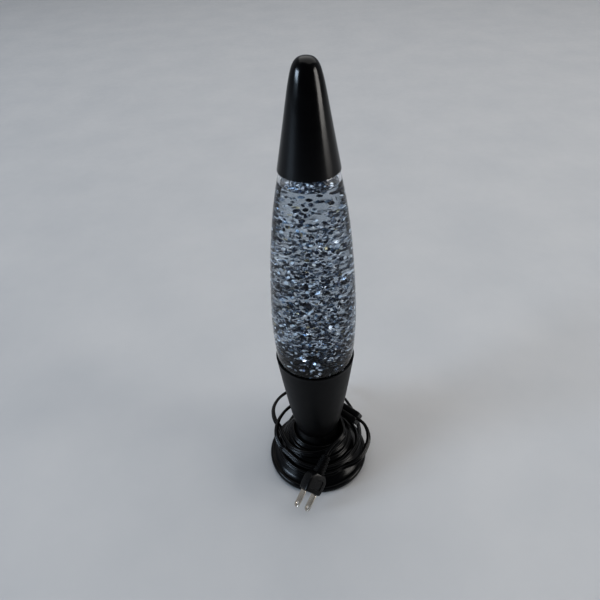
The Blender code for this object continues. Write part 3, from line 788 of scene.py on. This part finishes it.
def build_bulb(mats):
    wall, neck, top = 0.7, 7.6, 115.0
    side = [(neck, 70.0), (7.6, 80.5), (9.2, 85.0), (13.6, 90.5), (16.8, 95.5), (17.5, 99.5), (16.9, 104.0),
            (14.4, 109.0), (9.6, 113.0), (4.6, 114.6), (0.3, top)]
    curve = smooth_points([Vector((r, 0.0, z)) for r, z in side], 5)
    outer = [(p.x, min(p.z, top)) for p in curve] + [(0.0, top)]
    inner = [(0.0, top - wall)] + [(p.x - wall, p.z - 0.3 * wall) for p in curve[::-1] if p.x > 2.0]
    inner[-1] = (neck - wall, 70.0)
    glass = turned("bulb_glass_blown", in_mm(outer + inner), mats["bulb"], 96)
    stand_for(glass, "bulb", "bulb_glass", "bulb_glass")

    def thread(r, z, angle):
        pitch = 2.8 * MM
        inside = 66.8 * MM < z < 78.6 * MM
        return r - (0.3 * MM * (1.0 - math.cos(TURN * z / pitch - angle)) if inside else 0.0)

    outside = [(8.5, z) for z in steps_between(66.4, 79.4, 64)]
    inside = [(8.1, z) for z in steps_between(66.4, 79.4, 64)][::-1]
    outline = [(8.2, 66.0)] + outside + [(8.4, 80.0), (8.0, 80.0)] + inside + [(7.9, 66.0)]
    sleeve = turned("bulb_base_threaded", in_mm(outline), mats["nickel"], 96, radius_of=thread, sharp=60.0)
    stand_for(sleeve, "bulb", "nickel", "bulb_base")

    posts = [(-7.0, 97.0), (-4.7, 99.6), (0.0, 101.2), (4.7, 99.6), (7.0, 97.0)]
    arch = smooth_points([Vector((x, 0.0, z)) * MM for x, z in posts], 60)
    radius, step = 0.28 * MM, 1.3
    coil = [p + Vector((0.0, radius * math.cos(k * step), radius * math.sin(k * step)))
            for k, p in enumerate(arch)]
    wires = [coil] + [metres([(side * 1.4, 0.0, 91.0), (side * 3.2, 0.0, 92.6), (side * 7.0, 0.0, 97.0)])
                      for side in (-1.0, 1.0)]
    filament = bpy.data.curves.new("bulb_filament_coil", "CURVE")
    filament.dimensions = "3D"
    filament.bevel_depth = 0.09 * MM
    filament.bevel_resolution = 1
    for wire in wires:
        spline = filament.splines.new("POLY")
        spline.points.add(len(wire) - 1)
        for point, place in zip(spline.points, wire):
            point.co = (*place, 1.0)
    filament.materials.append(mats["steel"])
    coiled = bpy.data.objects.new("bulb_filament_coil", filament)
    bpy.context.scene.collection.objects.link(coiled)
    stand_for(coiled, "bulb", "nickel", "bulb_filament")


# Carried CAD nodes

def dress(mats):
    """Gives the CAD nodes that stay in sight their finishes."""
    finishes = {
        "plastic": ["bottom_cover"],
        "rubber": ["foot_pad_1", "foot_pad_2", "foot_pad_3", "foot_pad_4", "globe_seat_ring"],
        "steel": ["lamp_pipe", "pipe_washer", "pipe_nut", "socket_bracket", "bracket_nut", "switch_screw_1",
                  "switch_screw_2"],
        "brass": ["socket_shell", "socket_contact"],
        "phenolic": ["socket_body", "bulb_insulator"],
        "nickel": ["bulb_contact"],
        "liner": ["crown_liner"],
        "wire_black": ["hot_wire"],
        "wire_white": ["neutral_wire"],
        "bulb": ["bulb_stem"],
    }
    for finish, nodes in finishes.items():
        for node in nodes:
            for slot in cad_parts[node].material_slots:
                slot.link = "OBJECT"
                slot.material = mats[finish]


def make_materials():
    black = (0.010, 0.010, 0.011)
    return {
        "base": base_paint(),
        "cap": cap_paint(),
        "glass": refracting("bottle_glass_clear", (0.95, 0.97, 1.0), 1.38),
        "glass_inside": joined_face("bottle_glass_inside", (0.98, 0.98, 0.99), (1.0, 1.0, 1.0)),
        "liquid": joined_face("liquid_faint_blue", (0.69, 0.73, 0.76), (0.74, 0.775, 0.80)),
        "liquid_top": refracting("liquid_surface", (0.90, 0.94, 0.98), 1.38),
        "bulb": refracting("bulb_glass_clear", (0.96, 0.97, 0.98), 1.45),
        "glitter_silver": flake_metal("flake_silver", (0.50, 0.54, 0.60), (0.82, 0.86, 0.92), 0.16),
        "glitter_white": flake_metal("flake_white", (0.95, 0.97, 1.0), (1.0, 1.0, 1.0), 0.08, 0.05),
        "glitter_dark": flake_metal("flake_dark", (0.010, 0.013, 0.022), (0.035, 0.045, 0.075), 0.25),
        "glitter_blue": flake_metal("flake_blue", (0.07, 0.11, 0.17), (0.22, 0.31, 0.42), 0.20),
        "glitter_gold": flake_metal("flake_gold", (0.42, 0.34, 0.20), (0.62, 0.56, 0.40), 0.20),
        "plastic": vinyl("cover_plastic_black", (0.014, 0.014, 0.015), 0.50, 500.0, 0.15),
        "rubber": vinyl("rubber_black", (0.012, 0.012, 0.012), 0.70, 900.0, 0.2),
        "moulded": vinyl("moulded_vinyl_black", (0.0015, 0.0015, 0.0018), 0.28, 900.0, 0.04, 0.26),
        "cord": vinyl("cord_vinyl_black", (0.0012, 0.0012, 0.0014), 0.22, 300.0, 0.01, 0.18),
        "phenolic": vinyl("phenolic_black", (0.020, 0.016, 0.014), 0.35, 500.0, 0.1),
        "wire_black": vinyl("wire_insulation_black", black, 0.4),
        "wire_white": vinyl("wire_insulation_white", (0.55, 0.55, 0.52), 0.4),
        "liner": vinyl("cap_liner_grey", (0.30, 0.30, 0.29), 0.6),
        "steel": metal("steel_zinc", (0.42, 0.43, 0.45), (0.60, 0.61, 0.63), 0.25, 0.42, (1.0, 1.0, 8.0)),
        "nickel": metal("nickel_plate", (0.55, 0.54, 0.52), (0.72, 0.71, 0.69), 0.16, 0.30),
        "blade": metal("blade_nickel", (0.52, 0.47, 0.40), (0.66, 0.61, 0.54), 0.18, 0.26, (6.0, 1.0, 1.0)),
        "brass": metal("brass_drawn", (0.56, 0.38, 0.14), (0.78, 0.58, 0.27), 0.22, 0.36, (1.0, 1.0, 8.0)),
    }


# Floor and light

def build_floor():
    mat, tree, shader = new_material("floor_pale")
    dark, light = (0.46, 0.465, 0.475), (0.50, 0.50, 0.505)
    tree.links.new(ramp(tree, noise(tree, 9.0, 5.0), [(0.3, dark), (0.7, light)]),
                   shader.inputs["Base Color"])
    tree.links.new(in_range(tree, noise(tree, 60.0), 0.3, 0.7, 0.50, 0.62), shader.inputs["Roughness"])
    bm = bmesh.new()
    bmesh.ops.create_grid(bm, x_segments=4, y_segments=4, size=6.0)
    add_piece("floor", bm, mat)


def add_light(name, place, target, size_x, size_y, energy, colour):
    data = bpy.data.lights.new(name, "AREA")
    data.shape = "RECTANGLE"
    data.size = size_x
    data.size_y = size_y
    data.energy = energy
    data.color = colour
    light = bpy.data.objects.new(name, data)
    bpy.context.scene.collection.objects.link(light)
    aim = (Vector(target) - Vector(place)).to_track_quat("-Z", "Y")
    light.matrix_world = Matrix.Translation(place) @ aim.to_matrix().to_4x4()
    light.visible_camera = False


def make_light():
    """Window on the left, pale panel on the right, dim ceiling, and a room darker in front than behind."""
    bpy.context.scene.view_settings.view_transform = "Standard"
    bpy.context.scene.view_settings.look = "Medium High Contrast"
    world = bpy.data.worlds.new("studio")
    bpy.context.scene.world = world
    world.use_nodes = True
    tree = world.node_tree
    back = tree.nodes["Background"]
    source = add_node(tree, "ShaderNodeTexCoord")
    split = add_node(tree, "ShaderNodeSeparateXYZ")
    tree.links.new(source.outputs["Generated"], split.inputs["Vector"])
    behind = in_range(tree, split.outputs["Y"], -0.5, 0.6, 0.0, 1.0)
    tree.links.new(ramp(tree, behind, [(0.0, (0.030, 0.032, 0.037)), (1.0, (0.28, 0.29, 0.31))]),
                   back.inputs["Color"])
    backdrop = add_node(tree, "ShaderNodeBackground")
    backdrop.inputs["Color"].default_value = (0.36, 0.37, 0.39, 1.0)
    rays = add_node(tree, "ShaderNodeLightPath")
    mix = add_node(tree, "ShaderNodeMixShader")
    tree.links.new(rays.outputs["Is Camera Ray"], mix.inputs["Fac"])
    tree.links.new(back.outputs["Background"], mix.inputs[1])
    tree.links.new(backdrop.outputs["Background"], mix.inputs[2])
    tree.links.new(mix.outputs["Shader"], tree.nodes["World Output"].inputs["Surface"])
    add_light("ceiling", (0.50, 1.00, 2.9), (0.0, 0.0, 0.1), 4.6, 4.6, 66.0, (1.0, 0.99, 0.97))
    add_light("window_left", (-4.7, -1.6, 1.62), (0.0, 0.0, 0.25), 2.2, 1.2, 190.0, (0.68, 0.83, 1.0))
    add_light("panel_right", (2.75, -0.85, 0.78), (0.0, 0.0, 0.25), 1.25, 1.45, 44.0, (1.0, 0.97, 0.93))


def main():
    make_camera()
    mats = make_materials()
    relief = build_strain_relief(mats["rubber"])
    lower, upper, rocker = build_switch(mats)
    plug_pieces = build_plug(mats)
    across_switch = SWITCH_OUT.cross(SWITCH_LONG).normalized()

    base_cord, path = twin_lead("cord_base_to_switch", base_route(), Vector((1.0, 0.0, 0.0)), across_switch,
                                mats["cord"])
    stand_for(base_cord, "base", "cord_vinyl", "cord_exit_lead", "cord_winding", "cord_rear_lead")
    plug_cord, path = twin_lead("cord_switch_to_plug", plug_route(), across_switch, PLUG_SPREAD,
                                mats["cord"])
    stand_for(plug_cord, "base", "cord_vinyl", "cord_loop_right", "cord_loop_left", "cord_plug_lead")

    build_base(mats["base"])
    build_cap(mats["cap"])
    build_globe(mats)
    build_glitter(mats)
    build_bulb(mats)
    dress(mats)
    build_floor()
    make_light()


main()
